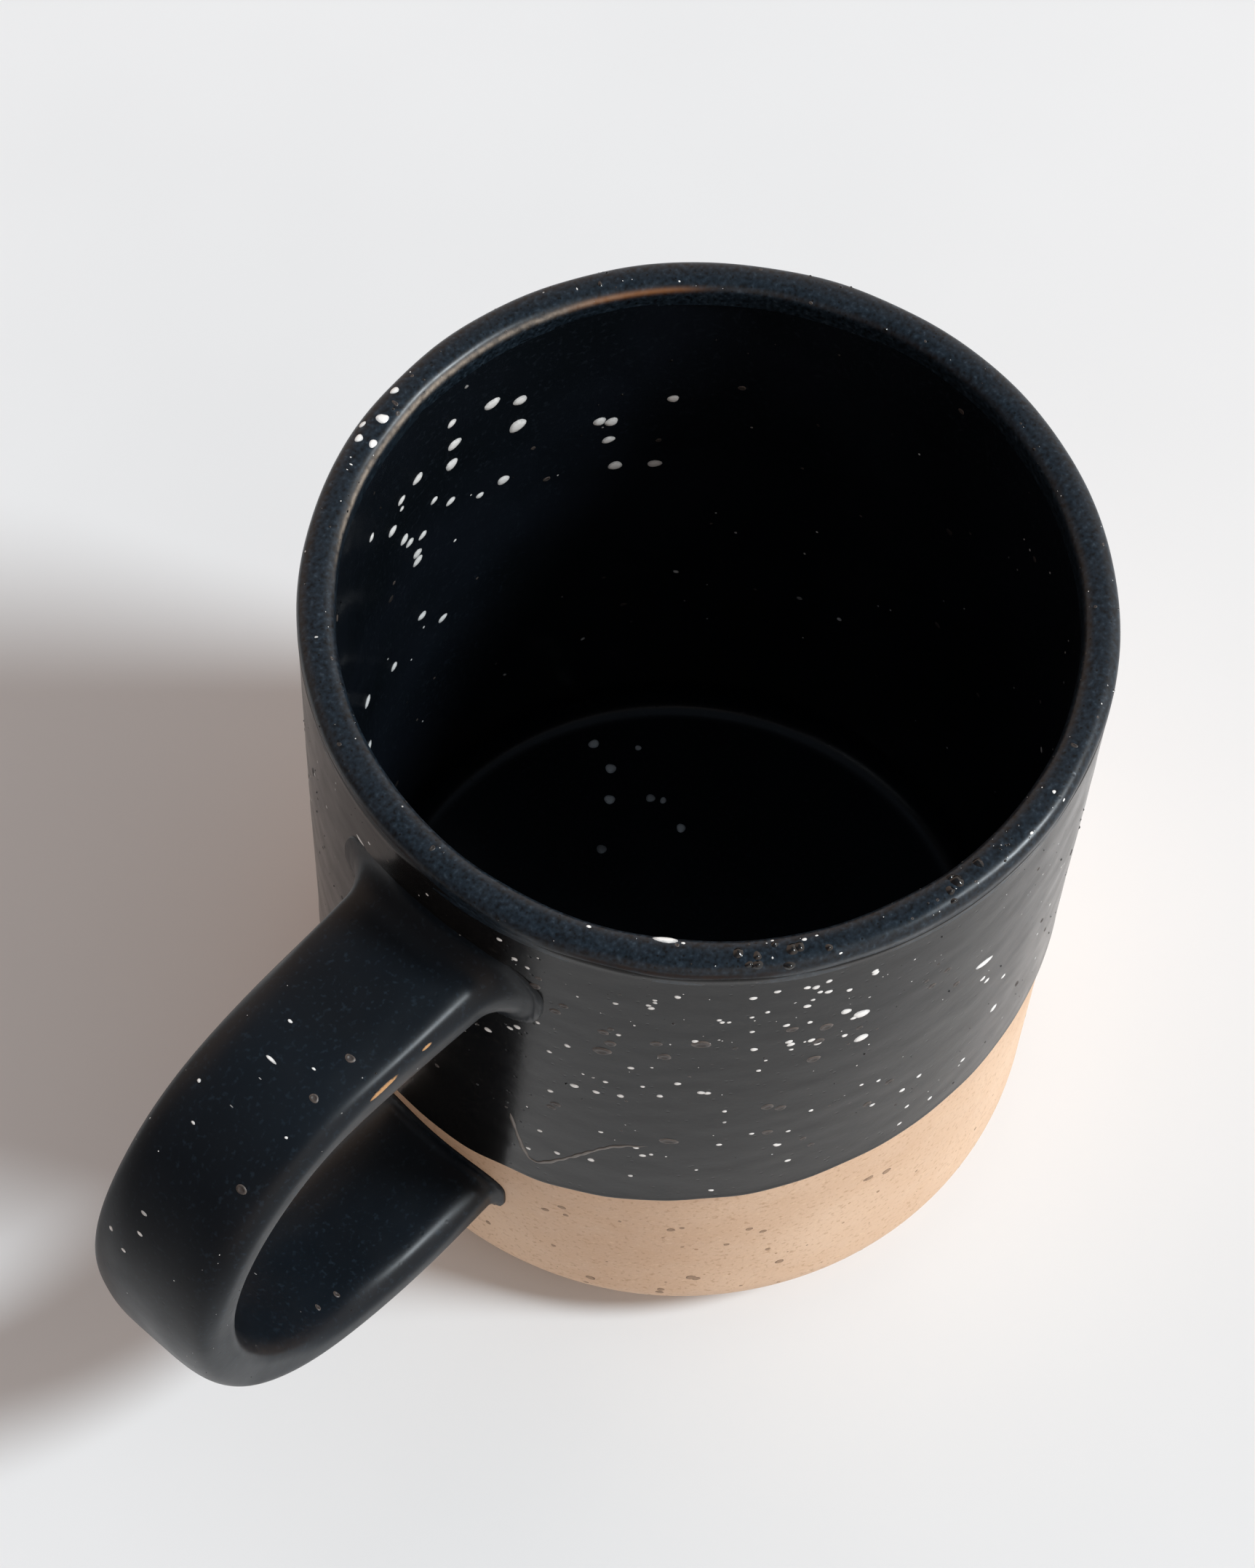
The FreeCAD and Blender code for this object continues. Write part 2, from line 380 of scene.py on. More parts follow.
# %% A smooth line through a few points
def smooth_course(knots, shares):
    """A natural cubic spline through the knots, spaced by their chords: solve for second
    derivatives that make slope and bend continuous, then blend each span."""
    chord = np.r_[0, np.cumsum(np.linalg.norm(np.diff(knots, axis=0), axis=1))]
    h = np.diff(chord)
    n = len(knots)
    system = np.eye(n)
    right = np.zeros((n, 2))
    inner = np.arange(1, n - 1)
    system[inner, inner - 1] = h[:-1]
    system[inner, inner] = 2 * (h[:-1] + h[1:])
    system[inner, inner + 1] = h[1:]
    slope = np.diff(knots, axis=0) / h[:, None]
    right[inner] = 6 * (slope[1:] - slope[:-1])
    bend = np.linalg.solve(system, right)
    at = shares * chord[-1]
    i = np.clip(np.searchsorted(chord, at, side="right") - 1, 0, n - 2)
    left, span = (at - chord[i])[..., None], h[i][..., None]
    rest = span - left
    curve = (bend[i] * rest ** 3 + bend[i + 1] * left ** 3) / (6 * span)
    curve += (knots[i] / span - bend[i] * span / 6) * rest
    curve += (knots[i + 1] / span - bend[i + 1] * span / 6) * left
    return curve


# %% The strap as a surface
def strap_surface(share, around, fillet_top=3.8 * MM, fillet_low=1.1 * MM):
    """The glazed strap: a rounded-rectangle section |y|^3.3 + |n|^3.3 = 1 square to the
    course. Where it nears the wall it is pushed out along the section by a quarter circle:
    L (1 - sqrt(1 - t^2)), with t growing from 0 to 1 as the wall comes within L. The wall is
    taken 0.12 mm deeper than it is, so that no rim stands out of it. A push changes how far
    the wall is, so this is done three times."""
    shape = np.broadcast(share, around).shape
    share, around = np.broadcast_to(share, shape), np.broadcast_to(around, shape)
    here = smooth_course(STRAP_COURSE, share)
    step = 1e-4
    ahead = smooth_course(STRAP_COURSE, np.clip(share + step, 0, 1))
    behind = smooth_course(STRAP_COURSE, np.clip(share - step, 0, 1))
    run = ahead - behind
    run = run / np.linalg.norm(run, axis=-1, keepdims=True)
    width = STRAP_WIDTH + ROOT_EXTRA * np.exp(-share / 0.12) + 2 * COAT
    thick = STRAP_THICK + ROOT_EXTRA / 2 * np.exp(-share / 0.08) + 2 * COAT
    c = np.sign(np.cos(around)) * np.abs(np.cos(around)) ** (2 / STRAP_POWER)
    s = np.sign(np.sin(around)) * np.abs(np.sin(around)) ** (2 / STRAP_POWER)
    uneven = 1 + 0.012 * soft_waves(around, share * STRAP_RUN, 30 * MM, 51)
    y = c * width / 2 * uneven
    n = s * thick / 2 * uneven
    out = WALL_R - COAT + here[..., 0]
    x = out - run[..., 1] * n
    z = here[..., 1] + run[..., 0] * n
    limit = np.where(share < 0.5, fillet_top, fillet_low)
    for _ in range(3):
        gap = np.hypot(x, y) - WALL_R + 0.12 * MM
        t = 1 - np.clip(gap / limit, 0, 1)
        push = limit * (1 - np.sqrt(np.clip(1 - t * t, 0, 1)))
        ny, nn = np.cos(around), np.sin(around)
        y = c * width / 2 * uneven + ny * push
        side = s * thick / 2 * uneven + nn * push
        x = out - run[..., 1] * side
        z = here[..., 1] + run[..., 0] * side
    return np.stack([x, y, z], -1)


# %% Handle coat, with its rows crowded towards both ends
dense = 0.5 - 0.5 * np.cos(np.linspace(0, math.pi, 330))
strap_share = (0.006 + 0.988 * dense)[:, None]
strap_around = np.linspace(0, 2 * math.pi, 128, endpoint=False)[None, :]
handle_coat = grid_piece("handle_coat", strap_surface(strap_share, strap_around), True, True)
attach(handle_coat, "root")
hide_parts("handle_glaze", "upper_slip_collar", "lower_slip_collar")

# %% [markdown]
# ## Flecks, blisters and grit
#
# White grains melt into small domes, gas leaves ringed blisters, and grit makes bumps. Each
# kind is one mesh of little discs laid on the surfaces above: a disc is a few rings of points,
# follows the curve under it, and rises by a profile of its own. The clear ones fall in drifts,
# as speckle does when it is flicked on: only the drifts are listed, and a seeded draw strews
# each drift's discs. Finer seeded ones fill in all round.

# %% Discs that follow a surface
SPOKES = 14


def lay_discs(name, groups, rings, lift):
    """One mesh of discs. Each group is (surface, a, b, long, wide, lean, veil): surface(a, b)
    gives points for surface lengths a round and b along; long and wide are the half sizes;
    lean turns the disc; veil is the highest random tone. A point at share q of the radius is
    raised by lift(q) times the wide size, along the surface's own normal. The outline swells
    by a few random waves."""
    q = np.linspace(0, 1, rings + 1)[1:]
    psi = np.linspace(0, 2 * math.pi, SPOKES, endpoint=False)
    q = np.r_[0.0, np.repeat(q, SPOKES)]
    psi = np.r_[0.0, np.tile(psi, rings)]
    blocks, tones, shares = [], [], []
    for surface, a, b, long, wide, lean, veil in groups:
        a, b, long, wide, lean = (np.atleast_1d(v)[:, None] for v in (a, b, long, wide, lean))
        shape = (len(a), 1)
        swell = 1 + 0.07 * np.cos(2 * psi + rng.uniform(0, 6.28, shape))
        swell = swell + 0.05 * np.cos(3 * psi + rng.uniform(0, 6.28, shape))
        u, v = q * swell * np.cos(psi) * long, q * swell * np.sin(psi) * wide
        du = u * np.cos(lean) - v * np.sin(lean)
        dv = u * np.sin(lean) + v * np.cos(lean)
        eps = 0.02 * MM
        p = surface(a + du, b + dv)
        pu = surface(a + du + eps, b + dv) - p
        pv = surface(a + du, b + dv + eps) - p
        normal = np.cross(pu, pv)
        normal /= np.linalg.norm(normal, axis=-1, keepdims=True)
        blocks.append(p + normal * (lift(q) * wide)[..., None])
        tones.append(np.repeat(rng.uniform(0, veil, shape), len(q), 1))
        shares.append(np.repeat(q[None, :], len(a), 0))
    points = np.vstack(blocks)
    count, per = points.shape[:2]
    ring = np.arange(SPOKES)
    nxt = (ring + 1) % SPOKES
    fan = np.stack([0 * ring, 1 + ring, 1 + nxt], -1)
    start = 1 + np.arange(rings - 1)[:, None] * SPOKES
    quads = np.stack([start + ring, start + SPOKES + ring, start + SPOKES + nxt, start + nxt], -1)
    move = (np.arange(count) * per)[:, None, None]
    faces = (fan[None] + move).reshape(-1, 3).tolist()
    faces += (quads.reshape(-1, 4)[None] + move).reshape(-1, 4).tolist()
    mesh = bpy.data.meshes.new(name)
    mesh.from_pydata(points.reshape(-1, 3).tolist(), [], faces)
    mesh.polygons.foreach_set("use_smooth", np.ones(len(mesh.polygons), bool))
    piece = bpy.data.objects.new(name, mesh)
    bpy.context.scene.collection.objects.link(piece)
    point_value(piece, "tone", np.vstack(tones))
    point_value(piece, "from_middle", np.vstack(shares))
    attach(piece, "root")
    print(name, count, "discs", len(faces), "faces")
    return piece


# %% The surfaces that discs lie on
def on_outer(a, b):
    """Outer wall: a is the length round it, b the height."""
    return place(a / WALL_R, outer_wall(a / WALL_R, b), b)


def on_inner(a, b):
    """Inner wall, with a run the other way so that its normals point to the axis."""
    return place(-a / INNER_R, inner_wall(-a / INNER_R, b), b)


def on_lip(a, b):
    """Lip: a is the length round, b the share of its section times 10 mm."""
    return lip_surface(a / WALL_R, b / (10 * MM))


def on_floor(a, b):
    """Floor inside: a and b are plain X and Y."""
    return np.stack([a, b, FLOOR_Z + 0 * a + 0.02 * MM], -1)


def on_strap(a, b):
    """Handle: a is the length round the section, b the length along the course."""
    return strap_surface(b / STRAP_RUN, a / STRAP_GIRTH)


def on_clay(a, b):
    """Bare clay band: a is the length round it, b the height."""
    turn = a / CLAY_R
    low = np.clip(BASE_EDGE - b, 0, BASE_EDGE)
    corner = BASE_EDGE - np.sqrt(BASE_EDGE ** 2 - low ** 2)
    return place(turn, CLAY_R - 0.05 * MM + finger_marks(turn, b) - corner, b)


# %% Where the white flecks drift
# A drift is its middle (two places), its reach each way, how many it holds and the usual width
# in mm. On a wall the places are degrees round the axis and mm up; on the lip the second is
# tenths of its section from outside to inside; on the strap they are degrees and the share of
# its length, and on the floor mm along X and Y.
OUTER_DRIFTS = [
    (10, 88, 8, 4, 4, 0.5), (38, 87, 9, 3, 9, 0.6), (56, 88, 9, 3, 14, 0.6),
    (20, 68, 10, 8, 8, 0.7), (36, 70, 9, 10, 11, 0.6), (56, 77, 9, 6, 12, 0.6),
    (30, 47, 16, 7, 11, 0.6), (64, 52, 14, 10, 12, 0.6), (85, 60, 8, 16, 6, 0.8),
    (66, 78, 9, 5, 3, 1.3), (20, 75, 5, 3, 1, 1.1),
]
LONG_DRIFTS = [(85, 75, 2, 2, 1, 2.0), (345, 85, 2, 2, 1, 1.6)]
INNER_DRIFTS = [
    (258, 81, 9, 5, 6, 1.6), (282, 79, 8, 5, 4, 1.4), (268, 68, 14, 6, 9, 1.2),
    (232, 68, 9, 7, 6, 1.3), (280, 48, 16, 8, 5, 1.3),
]
LIP_DRIFTS = [(280, 5, 6, 2, 5, 1.0), (60, 5, 60, 2, 9, 0.4)]
CHIP = [(35, 6.5, 0, 0, 1, 2.6)]
FLOOR_DRIFTS = [(-6, -16, 15, 13, 9, 0.9)]
STRAP_DRIFTS = [(92, 0.3, 30, 0.15, 9, 0.4), (120, 0.4, 4, 0.02, 1, 0.9)]
WALL_DEGREE = math.radians(1) * WALL_R
INNER_DEGREE = math.radians(1) * INNER_R
STRAP_DEGREE = math.radians(1) * STRAP_GIRTH
CLAY_DEGREE = math.radians(1) * CLAY_R
print("flecks in drifts on the outside:", sum(drift[4] for drift in OUTER_DRIFTS))


# %% Strew discs in drifts, or all round
def drift_group(surface, across, along, drifts, slim=1.0, veil=0.45):
    """Discs strewn in drifts, as a disc group. across and along are the surface lengths of one
    unit of a drift's two places; each disc falls evenly within the reaches and is 0.7 to 1.3
    times the usual width. slim is how many times longer than wide a disc is."""
    middle_a, middle_b, reach_a, reach_b, count, width = np.array(drifts, float).T
    each = np.repeat(np.arange(len(count)), count.astype(int))
    total = len(each)
    a = middle_a[each] + reach_a[each] * rng.uniform(-1, 1, total)
    b = middle_b[each] + reach_b[each] * rng.uniform(-1, 1, total)
    half = width[each] * rng.uniform(0.7, 1.3, total) * MM * 0.56
    lean = rng.uniform(-0.3, 0.3, total)
    return surface, a * across, b * along, half * 1.08, half / slim, lean, veil


def random_group(surface, radius, count, low, high, small, large, veil=1.0):
    """Random places all round, heights from low to high; mostly near the small size."""
    size = small + (large - small) * rng.uniform(0, 1, count) ** 3
    wide = size * rng.uniform(0.75, 1, count)
    return (surface, rng.uniform(0, 2 * math.pi, count) * radius, rng.uniform(low, high, count),
            size, wide, rng.uniform(0, 3.1, count), veil)


# %% White flecks
fleck_groups = [
    drift_group(on_outer, WALL_DEGREE, MM, OUTER_DRIFTS),
    drift_group(on_outer, WALL_DEGREE, MM, LONG_DRIFTS, 2.3),
    drift_group(on_inner, -INNER_DEGREE, MM, INNER_DRIFTS),
    drift_group(on_lip, WALL_DEGREE, MM, LIP_DRIFTS, 1.2, 0.3),
    drift_group(on_lip, WALL_DEGREE, MM, CHIP, 2.0, 0.0),
    drift_group(on_floor, MM, MM, FLOOR_DRIFTS, 1.0, 0.9),
    drift_group(on_strap, STRAP_DEGREE, STRAP_RUN, STRAP_DRIFTS, 1.1, 0.6),
    random_group(on_strap, STRAP_GIRTH, 60, 16 * MM, 120 * MM, 0.05 * MM, 0.16 * MM),
    random_group(on_outer, WALL_R, 150, 45 * MM, 91 * MM, 0.08 * MM, 0.34 * MM),
    random_group(on_outer, WALL_R, 180, 66 * MM, 91 * MM, 0.07 * MM, 0.20 * MM, 0.7),
    random_group(on_inner, INNER_R, 90, 20 * MM, 91 * MM, 0.12 * MM, 0.5 * MM),
    random_group(on_lip, WALL_R, 60, 3.2 * MM, 7.4 * MM, 0.05 * MM, 0.15 * MM),
]


def dome(q):
    """A low melted bead: highest in the middle, its edge just under the surface."""
    return 0.16 * np.sqrt(np.clip(1 - q * q, 0, 1)) - 0.03 * q ** 6


white_flecks = lay_discs("white_flecks", fleck_groups, 3, dome)

# %% Blisters
def crater(q):
    """A burst bubble: a raised ring at two thirds of the radius round a low middle."""
    return 0.16 * np.exp(-((q - 0.62) / 0.2) ** 2) - 0.05 * q ** 8 + 0.03 * (1 - q)


BLISTER_DRIFTS = [
    (19, 84, 4, 6, 4, 1.0), (34, 76, 9, 4, 6, 1.4), (56, 76, 3, 5, 4, 1.1),
    (55, 59, 4, 4, 3, 1.3), (78, 76, 4, 5, 3, 1.0), (345, 70, 8, 10, 3, 0.9), (20, 57, 2, 1, 2, 1.0),
]
SCAR = [(38, 54, 0, 0, 1, 2.8)]
STRAP_BLISTER_DRIFTS = [(69, 0.3, 3, 0.15, 3, 1.0), (297, 0.76, 3, 0.02, 2, 0.8)]
blister_groups = [
    drift_group(on_outer, WALL_DEGREE, MM, BLISTER_DRIFTS, 1.1, 0.3),
    drift_group(on_outer, WALL_DEGREE, MM, SCAR, 1.6, 0.0),
    drift_group(on_strap, STRAP_DEGREE, STRAP_RUN, STRAP_BLISTER_DRIFTS, 1.1, 0.2),
    random_group(on_outer, WALL_R, 90, 44 * MM, 91 * MM, 0.2 * MM, 0.6 * MM),
    random_group(on_inner, INNER_R, 60, 20 * MM, 91 * MM, 0.2 * MM, 0.55 * MM),
    random_group(on_lip, WALL_R, 22, 3 * MM, 7.4 * MM, 0.18 * MM, 0.36 * MM),
]
blisters = lay_discs("glaze_blisters", blister_groups, 6, crater)

# %% Grit bumps
# They sit thick on one stretch of the lip and thin out over the rest.
LIP_GRIT_DRIFTS = [(52, 4.2, 7, 1.5, 10, 1.0), (76, 5, 8, 1.5, 5, 0.9)]
bump_groups = [
    drift_group(on_lip, WALL_DEGREE, MM, LIP_GRIT_DRIFTS),
    random_group(on_lip, WALL_R, 60, 2.2 * MM, 7.4 * MM, 0.10 * MM, 0.28 * MM),
    random_group(on_outer, WALL_R, 240, 46 * MM, 92 * MM, 0.08 * MM, 0.26 * MM),
    random_group(on_inner, INNER_R, 70, 30 * MM, 92 * MM, 0.12 * MM, 0.28 * MM),
    random_group(on_strap, STRAP_GIRTH, 40, 10 * MM, 150 * MM, 0.08 * MM, 0.22 * MM),
]


def bump(q):
    """A grain of grit under the glaze: a steep little hill with a soft foot."""
    return 0.55 * np.cos(q * math.pi / 2) ** 1.5 - 0.06 * q ** 4


grit_bumps = lay_discs("grit_bumps", bump_groups, 4, bump)


# %% Clay specks
def speck(q):
    """A grey speck in the clay: flat, with a faint rim."""
    return 0.03 + 0.05 * np.exp(-((q - 0.7) / 0.2) ** 2) - 0.10 * q ** 8


CLAY_DRIFTS = [
    (36, 14, 10, 5, 5, 0.9), (20, 22, 6, 7, 5, 0.8), (46, 28, 8, 4, 3, 0.8),
    (60, 18, 8, 8, 3, 0.9), (76, 23, 8, 9, 3, 0.9),
]
clay_groups = [
    drift_group(on_clay, CLAY_DEGREE, MM, CLAY_DRIFTS, 1.1, 0.5),
    random_group(on_clay, CLAY_R, 60, 3 * MM, 29 * MM, 0.25 * MM, 0.5 * MM),
    random_group(on_clay, CLAY_R, 150, 2.5 * MM, 29 * MM, 0.10 * MM, 0.22 * MM),
]
clay_specks = lay_discs("clay_specks", clay_groups, 4, speck)

# %% Bare patches
# Two places on the strap's edge where the glaze has pulled away from the clay.
pulled_half = np.array([3.0, 1.0]) * MM
bare_patches = lay_discs("bare_patches", [
    (on_strap, np.array([15, 20]) * STRAP_DEGREE, np.array([0.16, 0.11]) * STRAP_RUN,
     pulled_half, pulled_half * [0.25, 0.5], np.full(2, math.pi / 2), 0.0),
], 5, speck)

# %% [markdown]
# ## The crawl line
#
# Low on the front a thread of thicker glaze has run sideways and set: a thin raised line with
# a hook at its lower end. It is a half-round bead carried along a path on the wall.

# %% The thread's path
# Given in degrees round and mm up: down, round the bottom of a hook, up and away.
CRAWL = np.array([(14, 50), (16, 43), (18, 40), (21, 42), (27, 48), (31, 51), (35, 52)])
crawl_knots = np.stack([CRAWL[:, 0] * WALL_DEGREE, CRAWL[:, 1] * MM], -1)
crawl_share = np.linspace(0, 1, 200)
crawl_path = smooth_course(crawl_knots, crawl_share)
crawl_path[:, 1] += 0.08 * MM * np.sin(crawl_share * 90)
crawl_run = np.gradient(crawl_path, axis=0)
crawl_run /= np.linalg.norm(crawl_run, axis=1, keepdims=True)
print("crawl thread from", CRAWL[0].tolist(), "to", CRAWL[-1].tolist())

# %% A thread of glaze on the wall
half_round = np.linspace(-math.pi / 2, 1.5 * math.pi, 10, endpoint=False)
crawl_width = (0.22 + 0.05 * np.sin(crawl_share * 31) + 0.03 * np.sin(crawl_share * 73)) * MM
crawl_width *= np.clip(np.minimum(crawl_share, 1 - crawl_share) * 20, 0.1, 1)
side = np.cos(half_round)[None, :] * crawl_width[:, None]
rise = np.sin(half_round)[None, :] * crawl_width[:, None] * 0.35
crawl_a = crawl_path[:, :1] - crawl_run[:, 1:] * side
crawl_b = crawl_path[:, 1:] + crawl_run[:, :1] * side
crawl_r = outer_wall(crawl_a / WALL_R, crawl_b) + rise
crawl_thread = grid_piece("crawl_thread", place(crawl_a / WALL_R, crawl_r, crawl_b), True, True)
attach(crawl_thread, "root")

# %% [markdown]
# ## Finishes
#
# Each finish is a small tree of nodes on object coordinates, in metres, so a pattern keeps its
# real size. One function adds a node, sets it and links it.

# %% Colour and node helpers
def colour(code):
    """An sRGB hex colour as the linear values that a shader works with."""
    srgb = np.array([int(code[i:i + 2], 16) for i in (1, 3, 5)]) / 255
    linear = np.where(srgb <= 0.04045, srgb / 12.92, ((srgb + 0.055) / 1.055) ** 2.4)
    return (*linear.tolist(), 1.0)


def node(tree, kind, inputs=None, **settings):
    """Add a node. An input is set to a value, or linked when it is another node's socket."""
    made = tree.nodes.new("ShaderNode" + kind)
    for key, value in settings.items():
        setattr(made, key, value)
    for key, value in (inputs or {}).items():
        if isinstance(value, bpy.types.NodeSocket):
            tree.links.new(value, made.inputs[key])
        else:
            made.inputs[key].default_value = value
    return made


def finish_named(name, **fixed):
    """A new material with one Principled shader, its fixed sockets set; returns both."""
    made = bpy.data.materials.new(name)
    made.use_nodes = True
    tree = made.node_tree
    tree.nodes.clear()
    shader = node(tree, "BsdfPrincipled", fixed)
    out = node(tree, "OutputMaterial", {"Surface": shader.outputs["BSDF"]})
    out.is_active_output = True
    return made, tree, shader


# %% Patterns and how they are mixed
def ramp(tree, value, stops):
    """A colour ramp over (position, hex) stops."""
    made = node(tree, "ValToRGB", {"Fac": value})
    bar = made.color_ramp
    while len(bar.elements) < len(stops):
        bar.elements.new(0.5)
    for element, (position, code) in zip(bar.elements, stops):
        element.position = position
        element.color = colour(code)
    return made.outputs["Color"]


def grain(tree, size, stretch=(1, 1, 1), detail=2.0):
    """Noise whose lumps are about size metres across, squeezed by stretch on each axis."""
    where = node(tree, "TexCoord").outputs["Object"]
    if stretch != (1, 1, 1):
        where = node(tree, "Mapping", {"Vector": where, "Scale": stretch}).outputs["Vector"]
    made = node(tree, "TexNoise", {"Vector": where, "Scale": 0.6 / size, "Detail": detail})
    return made.outputs["Fac"]


def spread(tree, value, low, high, to_low, to_high):
    """Stretch a value from one range to another, held at the ends."""
    made = node(tree, "MapRange", {"Value": value, "From Min": low, "From Max": high,
                                   "To Min": to_low, "To Max": to_high})
    return made.outputs["Result"]


def blend(tree, share, first, second):
    """Mix two colours by a share."""
    made = node(tree, "Mix", data_type="RGBA")
    tree.links.new(share, made.inputs[0])
    for socket, value in ((made.inputs[6], first), (made.inputs[7], second)):
        if isinstance(value, bpy.types.NodeSocket):
            tree.links.new(value, socket)
        else:
            socket.default_value = value
    return made.outputs[2]


# %% Stack bumps under a shader
def relief(tree, shader, layers):
    """Stack bumps: each layer is (height value, depth in metres)."""
    normal = None
    for value, depth in layers:
        inputs = {"Height": value, "Distance": depth, "Strength": 1.0}
        if normal is not None:
            inputs["Normal"] = normal
        normal = node(tree, "Bump", inputs).outputs["Normal"]
    tree.links.new(normal, shader.inputs["Normal"])


# %% [markdown]
# ## Satin black glaze
#
# An iron-black stoneware glaze, cooled slowly so that its face is satin, not mirror. The eye
# sees a broad soft sheen, faint streaks that run with the wheel, pin-prick dimples and a
# slightly warm charcoal cast.

# %% Black glaze on the outside
def glaze_relief(tree, shader, depth=1.0):
    """Dimples 1.5 mm apart, orange peel of 0.5 mm and wheel streaks 1.2 mm high."""
    where = node(tree, "TexCoord").outputs["Object"]
    cells = node(tree, "TexVoronoi", {"Vector": where, "Scale": 1 / (1.5 * MM)})
    pricks = spread(tree, cells.outputs["Distance"], 0.06, 0.16, 0, 1)
    streaks = grain(tree, 1.2 * MM, (0.12, 0.12, 1.0), 3)
    peel = grain(tree, 0.5 * MM, detail=3)
    relief(tree, shader, [(streaks, 0.007 * MM * depth), (peel, 0.010 * MM * depth),
                          (pricks, 0.015 * MM * depth)])


def black_glaze(name, dark, mid, light, rough_low, rough_high, depth=1.0, index=1.3):
    """Three close shades mixed by clouds of 9 mm and specks of 0.35 mm."""
    made, tree, shader = finish_named(name, IOR=index)
    clouds = ramp(tree, grain(tree, 9 * MM, detail=4), [(0.35, dark), (0.65, mid)])
    specks = spread(tree, grain(tree, 0.35 * MM, detail=2), 0.58, 0.72, 0, 1)
    tree.links.new(blend(tree, specks, clouds, colour(light)), shader.inputs["Base Color"])
    rough = spread(tree, grain(tree, 3 * MM, detail=4), 0.3, 0.7, rough_low, rough_high)
    tree.links.new(rough, shader.inputs["Roughness"])
    glaze_relief(tree, shader, depth)
    return made, tree, shader


# %% The four black finishes
outer_finish = black_glaze("satin_black_glaze", "#0d0c0c", "#131211", "#201f1d", 0.18, 0.26,
                           index=1.25)[0]
liner_finish = black_glaze("gloss_black_liner", "#0c1014", "#11151b", "#171c22", 0.18, 0.26,
                           0.5)[0]
handle_finish = black_glaze("satin_blue_black_glaze", "#0b1015", "#10161c", "#19222a", 0.32,
                            0.40, 0.6, 1.29)[0]
bump_finish = black_glaze("glaze_over_grit", "#0d0e0f", "#161616", "#241f1c", 0.10, 0.16, 0.3,
                          1.5)[0]
print("black finishes:", outer_finish.name, liner_finish.name, handle_finish.name,
      bump_finish.name)

# %% [markdown]
# ## Mottled lip
#
# Where two coats overlap the glaze is thick and breaks into fine blue-grey and black speckle.
# On the sharp edges it runs thin and the iron in it turns brown; the dark line under the outer
# edge is partly painted shade, and the pale band on the inner edge partly a painted highlight.

# %% Lip finish
lip_finish, tree, shader = finish_named("mottled_double_glaze", IOR=1.38)
mottle = ramp(tree, grain(tree, 0.30 * MM, detail=4),
              [(0.30, "#06090d"), (0.44, "#121a21"), (0.60, "#1b252e"), (0.80, "#343f48")])
thin_and_shade_here = node(tree, "Attribute", attribute_name="thin_glaze_and_shade").outputs["Fac"]
ragged = node(tree, "Math", {0: thin_and_shade_here, 1: spread(tree, grain(tree, 1.1 * MM, detail=4),
                                                     0.3, 0.62, 0, 1)}, operation="MULTIPLY")
# Thin glaze is blended to a near-black brown; on the outer edge this line is partly painted shade.
brown = blend(tree, ragged.outputs[0], mottle, colour("#22140e"))
holes = node(tree, "TexVoronoi", {"Vector": node(tree, "TexCoord").outputs["Object"],
                                  "Scale": 1 / (0.9 * MM)}).outputs["Distance"]
pitted = blend(tree, spread(tree, holes, 0.10, 0.17, 1, 0), brown, colour("#07090b"))
amber_here = node(tree, "Attribute", attribute_name="amber_glaze").outputs["Fac"]
pitted = blend(tree, amber_here, pitted, colour("#7a4d2a"))
# Pale inner edge: partly worn glaze over clay, partly a painted highlight.
edge_here = node(tree, "Attribute", attribute_name="pale_edge_and_highlight").outputs["Fac"]
pale_and_highlight = node(tree, "Math", {0: edge_here, 1: spread(tree, grain(tree, 0.5 * MM, detail=3), 0.3,
                                                   0.6, 0.35, 1)}, operation="MULTIPLY").outputs[0]
tree.links.new(blend(tree, pale_and_highlight, pitted, colour("#a5988a")), shader.inputs["Base Color"])
satin = spread(tree, grain(tree, 1.4 * MM, detail=3), 0.3, 0.7, 0.28, 0.38)
dull = node(tree, "Math", {0: satin, 1: spread(tree, thin_and_shade_here, 0, 1, 0, 0.5)}, operation="ADD")
tree.links.new(dull.outputs[0], shader.inputs["Roughness"])
glaze_relief(tree, shader, 0.9)

# %% [markdown]
# ## Bare stoneware
#
# Vitrified sandy clay, wiped smooth: warm sand colour with fine darker and paler grains, and
# turning lines. It is nearly matt, with a low satin sheen.

# %% Clay finish
clay_finish, tree, shader = finish_named("bare_sand_stoneware", IOR=1.5)
sand = ramp(tree, grain(tree, 14 * MM, detail=5), [(0.3, "#c9a687"), (0.7, "#dabb9e")])
fine = spread(tree, grain(tree, 0.35 * MM, detail=3), 0.56, 0.70, 0, 0.55)
sand = blend(tree, fine, sand, colour("#a9835f"))
pale = spread(tree, grain(tree, 0.5 * MM, (1, 1, 1.4), 2), 0.60, 0.74, 0, 0.4)
sand = blend(tree, pale, sand, colour("#e3c6a4"))
tree.links.new(sand, shader.inputs["Base Color"])
tree.links.new(spread(tree, grain(tree, 2 * MM, detail=3), 0.3, 0.7, 0.50, 0.64),
               shader.inputs["Roughness"])
relief(tree, shader, [(grain(tree, 0.9 * MM, (0.1, 0.1, 1.0), 3), 0.05 * MM),
                      (grain(tree, 0.4 * MM, detail=3), 0.05 * MM)])

# %% [markdown]
# ## Flecks and specks
#
# The melted white grains are a milky glass, some clean and bright, some veiled by the black
# glaze round them. Blisters are dull pinkish grey where the skin broke. Each disc carries a
# random tone, and its distance from the middle, for the finish to read.

